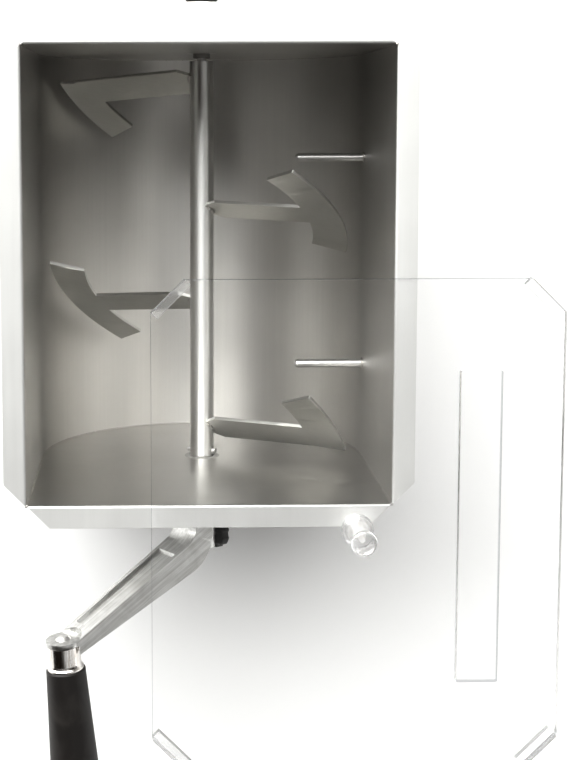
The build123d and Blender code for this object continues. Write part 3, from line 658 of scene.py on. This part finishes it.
def clear_knob():
    low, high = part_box("lid_knob")
    middle = (low + high) / 2
    profile = [(radius * MM, height * MM) for radius, height in KNOB_FOOT + KNOB_WAIST + KNOB_HEAD]
    shape = lathe(profile, (middle.x, middle.y, low.z), (0, 0, 1), turns=64)
    mesh = join_shapes("clear_knob", [shape])
    piece = finish_mesh("clear_knob", mesh, ["clear_moulded"], "lid", 50)
    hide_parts("lid_knob")


# ---- CAD pieces that stay: edges eased and finished ----
def ease_edges(node, width, segments=2, angle=32):
    """Breaks the sharp edges of a CAD piece by a small bevel."""
    piece = frame["nodes"][node]
    weld = piece.modifiers.new("weld", "WELD")
    weld.merge_threshold = 1e-6
    bevel = piece.modifiers.new("eased_edges", "BEVEL")
    bevel.width = width
    bevel.segments = segments
    bevel.limit_method = "ANGLE"
    bevel.angle_limit = math.radians(angle)
    bevel.harden_normals = True
    bevel.use_clamp_overlap = True


NODE_LOOKS = {
    "rear_hex_housing": "brushed_sheet",
    "lid_corner_bars": "clear_moulded",
    "front_shaft_seal": "seal_plastic",
    "rear_inner_washer": "seal_plastic",
    "front_end_plate": "plate_sheet",
    "rear_end_plate": "plate_sheet",
}
EASED = {
    "front_end_plate": 0.3, "rear_end_plate": 0.3, "front_stand": 0.35, "rear_stand": 0.35,
    "paddle_1": 0.25, "paddle_2": 0.25, "paddle_3": 0.25, "paddle_4": 0.25,
    "crank_arm": 0.7, "rear_hex_housing": 0.4, "clamp_screw_knob": 0.4,
}


def finish_cad_nodes():
    slots = {s["node"]: s["material_slot"] for s in frame["record"]["subparts"]}
    for node, piece in frame["nodes"].items():
        look = NODE_LOOKS.get(node, slots[node])
        piece.data.materials.clear()
        piece.data.materials.append(LOOKS[look])
    for node in ("front_end_plate", "rear_end_plate"):
        piece = frame["nodes"][node]
        piece.data.materials.append(LOOKS["rim_sheet"])
        finish_rim(piece.data)
    for node, width in EASED.items():
        ease_edges(node, width * MM)


def spring_travel():
    """Gives the plunger's spring a mesh of its own."""
    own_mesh(frame["nodes"]["plunger_spring"])


# ---- stage ----
def floor():
    corners = [(x * FLOOR_REACH, y * FLOOR_REACH, 0) for x, y in ((-1, -1), (1, -1), (1, 1), (-1, 1))]
    mesh = mesh_from("floor", corners, [(0, 1, 2, 3)])
    ground = bpy.data.objects.new("floor", mesh)
    bpy.context.scene.collection.objects.link(ground)
    look = Look("floor", Roughness=0.9)
    clouds = look.noise((3, 3, 3), detail=3.0)
    look.drive("Base Color", look.mix(clouds, (0.90, 0.90, 0.90, 1), (0.93, 0.93, 0.93, 1)))
    mesh.materials.append(look.material)


DIM = (0.010, 0.005, 0.002, 1)      # radiance of the dark studio round the lights
WHITE = (1.0, 1.0, 0.985, 1)
REAR_LIGHT = 5.7                    # radiance of the broad soft light behind the part, at its brightest
REAR_LIGHT_Y = (0.19, 0.38)         # direction's Y where it starts and where it is full
REAR_LIGHT_X = (0.85, -0.25)        # direction's X: it fades to the right
FRONT_FILL = 0.9                    # radiance of the weak fill from the front right
FRONT_FILL_Y = (-0.08, -0.14, -0.34, -0.44)  # direction's Y where it starts, is full, is still full, ends
FRONT_FILL_X = (-0.30, 0.30)
LAMPS_UP = (-0.05, 0.05)            # direction's Z where both lights start and where they are full
BACKDROP = 0.9                      # radiance of the pale backdrop round the horizon
BACKDROP_UP = (0.16, 0.06)          # direction's Z where it starts and where it is full


def studio_sky():
    """Plain studio: dark above, pale round the horizon, a broad soft light behind, a weak fill in front."""
    world = bpy.data.worlds.new("studio")
    bpy.context.scene.world = world
    world.use_nodes = True
    tree = world.node_tree

    def ramp(value, start, end, top=1.0):
        node = tree.nodes.new("ShaderNodeMapRange")
        node.interpolation_type = "SMOOTHSTEP"
        tree.links.new(value, node.inputs["Value"])
        node.inputs["From Min"].default_value = start
        node.inputs["From Max"].default_value = end
        node.inputs["To Max"].default_value = top
        return node.outputs["Result"]

    def combine(operation, first, second):
        node = tree.nodes.new("ShaderNodeMath")
        node.operation = operation
        tree.links.new(first, node.inputs[0])
        tree.links.new(second, node.inputs[1])
        return node.outputs[0]

    direction = tree.nodes.new("ShaderNodeSeparateXYZ")
    coords = tree.nodes.new("ShaderNodeTexCoord")
    tree.links.new(coords.outputs["Generated"], direction.inputs[0])
    across, along, up = direction.outputs
    fill = combine("MULTIPLY", ramp(along, *FRONT_FILL_Y[:2]), ramp(along, *FRONT_FILL_Y[:1:-1]))
    fill = combine("MULTIPLY", fill, ramp(across, *FRONT_FILL_X, FRONT_FILL))
    rear = combine("MULTIPLY", ramp(along, *REAR_LIGHT_Y), ramp(across, *REAR_LIGHT_X, REAR_LIGHT))
    lamps = combine("MULTIPLY", combine("ADD", fill, rear), ramp(up, *LAMPS_UP))
    share = combine("ADD", lamps, ramp(up, *BACKDROP_UP, BACKDROP))
    blend = tree.nodes.new("ShaderNodeMix")
    blend.data_type = "RGBA"
    blend.clamp_factor = False
    tree.links.new(share, blend.inputs["Factor"])
    colours = [s for s in blend.inputs if s.type == "RGBA"]
    colours[0].default_value = DIM
    colours[1].default_value = WHITE
    result = [s for s in blend.outputs if s.type == "RGBA"][0]
    tree.links.new(result, tree.nodes["Background"].inputs["Color"])


# ---- camera ----
CAMERA_FROM_RIM = Vector((-0.0363, 0.1035, 0.9631))   # from the centre of the rim's top
CAMERA_TURN = (-6.17, -0.98, -0.15)                    # degrees, about X, Y and Z
CAMERA_LENS = 71.0
CAMERA_SHIFT = (0.1405, -0.1320)


def camera():
    data = bpy.data.cameras.new("camera")
    data.lens = CAMERA_LENS
    data.sensor_width = 36
    data.shift_x, data.shift_y = CAMERA_SHIFT
    eye = bpy.data.objects.new("camera", data)
    eye.location = Vector((0, 0, RIM_Z)) + CAMERA_FROM_RIM
    eye.rotation_euler = [math.radians(a) for a in CAMERA_TURN]
    bpy.context.scene.collection.objects.link(eye)
    bpy.context.scene.camera = eye


def film():
    """The contrast of a printed product photograph: clean whites and deep shadows."""
    settings = bpy.context.scene.view_settings
    settings.view_transform = "Standard"
    settings.exposure = 0.25
    settings.gamma = 0.80


def main():
    finish_cad_nodes()
    spring_travel()
    trough_skin()
    tank_welds()
    paddle_welds()
    fitting_welds()
    clear_lid()
    clear_knob()
    floor()
    studio_sky()
    camera()
    film()


main()
